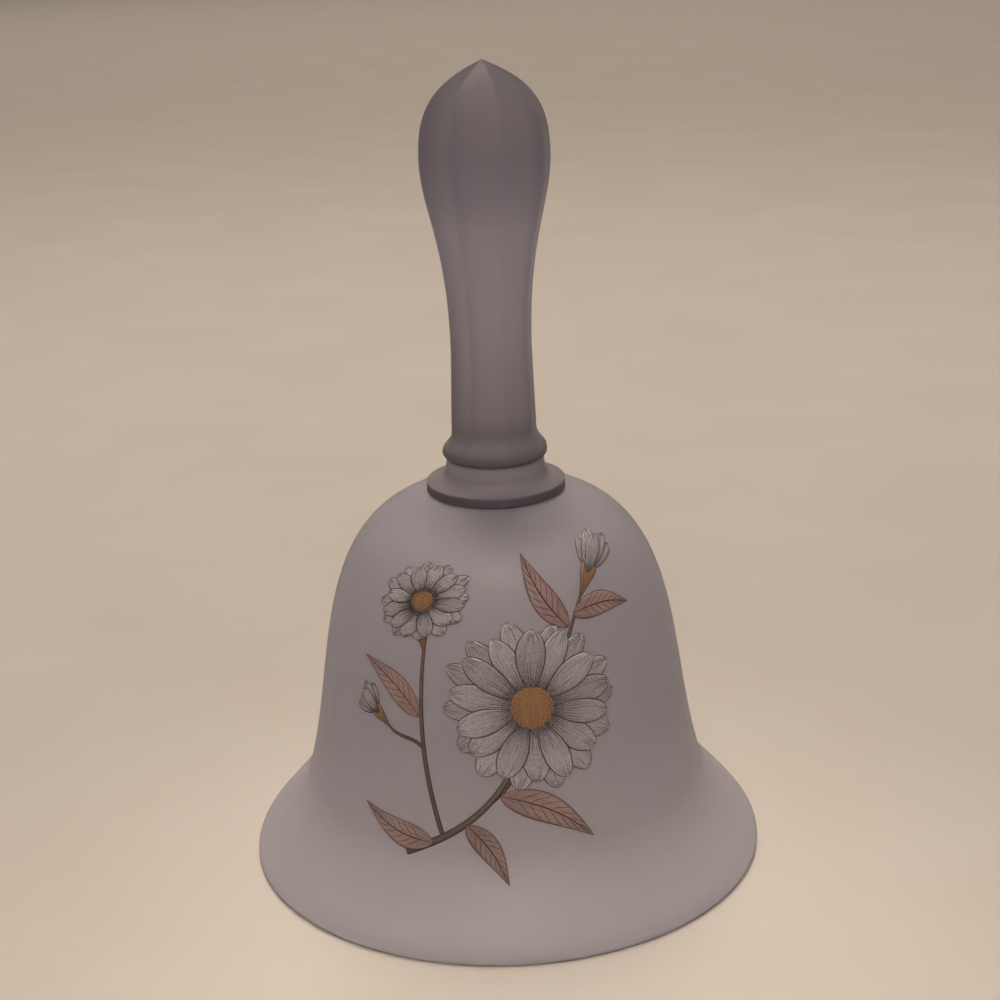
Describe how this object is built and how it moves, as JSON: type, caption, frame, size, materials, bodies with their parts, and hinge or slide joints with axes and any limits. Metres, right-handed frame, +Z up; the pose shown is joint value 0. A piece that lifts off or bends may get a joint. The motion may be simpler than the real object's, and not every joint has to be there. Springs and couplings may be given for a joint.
{
  "type": "table bell",
  "caption": "Satin glass table bell with a flared bowl, a panelled glass handle bonded to its crown and a bead clapper that swings inside on a wire chain.",
  "frame": {"origin": "centre of the rim, in the plane that the bell stands on", "axes": "+Z up along the bell's axis to the tip of the handle, -Y towards the printed front, +X to the viewer's right"},
  "size_m": [0.1084, 0.1084, 0.165],
  "materials": {
    "satin_glass": "satin",
    "bond": "clear adhesive film",
    "cement": "matte",
    "plated_wire": "bright plated",
    "clear_glass": "gloss"
  },
  "bodies": {
    "bell": {"bell_bowl": "satin_glass", "handle": "satin_glass", "handle_bond": "bond", "hanger_cement": "cement", "hanger_eye": "plated_wire"},
    "link_1": {"chain_link_1": "plated_wire"},
    "link_2": {"chain_link_2": "plated_wire"},
    "link_3": {"chain_link_3": "plated_wire"},
    "link_4": {"chain_link_4": "plated_wire"},
    "link_5": {"chain_link_5": "plated_wire"},
    "link_6": {"chain_link_6": "plated_wire"},
    "link_7": {"chain_link_7": "plated_wire"},
    "clapper": {"clapper_pin": "plated_wire", "clapper_bead": "clear_glass"}
  },
  "joints": [
    {"name": "link_1_swing", "type": "hinge", "parent": "bell", "child": "link_1", "pos_m": [0, 0, 0.06653], "axis": [1, 0, 0], "range_deg": [-18.5, 18.5]},
    {"name": "link_2_swing", "type": "hinge", "parent": "link_1", "child": "link_2", "pos_m": [0, 0, 0.06063], "axis": [0, 1, 0], "range_deg": [-18.5, 18.5]},
    {"name": "link_3_swing", "type": "hinge", "parent": "link_2", "child": "link_3", "pos_m": [0, 0, 0.05462], "axis": [1, 0, 0], "range_deg": [-5, 5]},
    {"name": "link_4_swing", "type": "hinge", "parent": "link_3", "child": "link_4", "pos_m": [0, 0, 0.04862], "axis": [0, 1, 0], "range_deg": [-5, 5]},
    {"name": "link_5_swing", "type": "hinge", "parent": "link_4", "child": "link_5", "pos_m": [0, 0, 0.04262], "axis": [1, 0, 0], "range_deg": [-5, 5]},
    {"name": "link_6_swing", "type": "hinge", "parent": "link_5", "child": "link_6", "pos_m": [0, 0, 0.03662], "axis": [0, 1, 0], "range_deg": [-5, 5]},
    {"name": "link_7_swing", "type": "hinge", "parent": "link_6", "child": "link_7", "pos_m": [0, 0, 0.03062], "axis": [1, 0, 0], "range_deg": [-5, 5]},
    {"name": "clapper_swing", "type": "hinge", "parent": "link_7", "child": "clapper", "pos_m": [0, 0, 0.02461], "axis": [0, 1, 0], "range_deg": [-5, 5]}
  ]
}
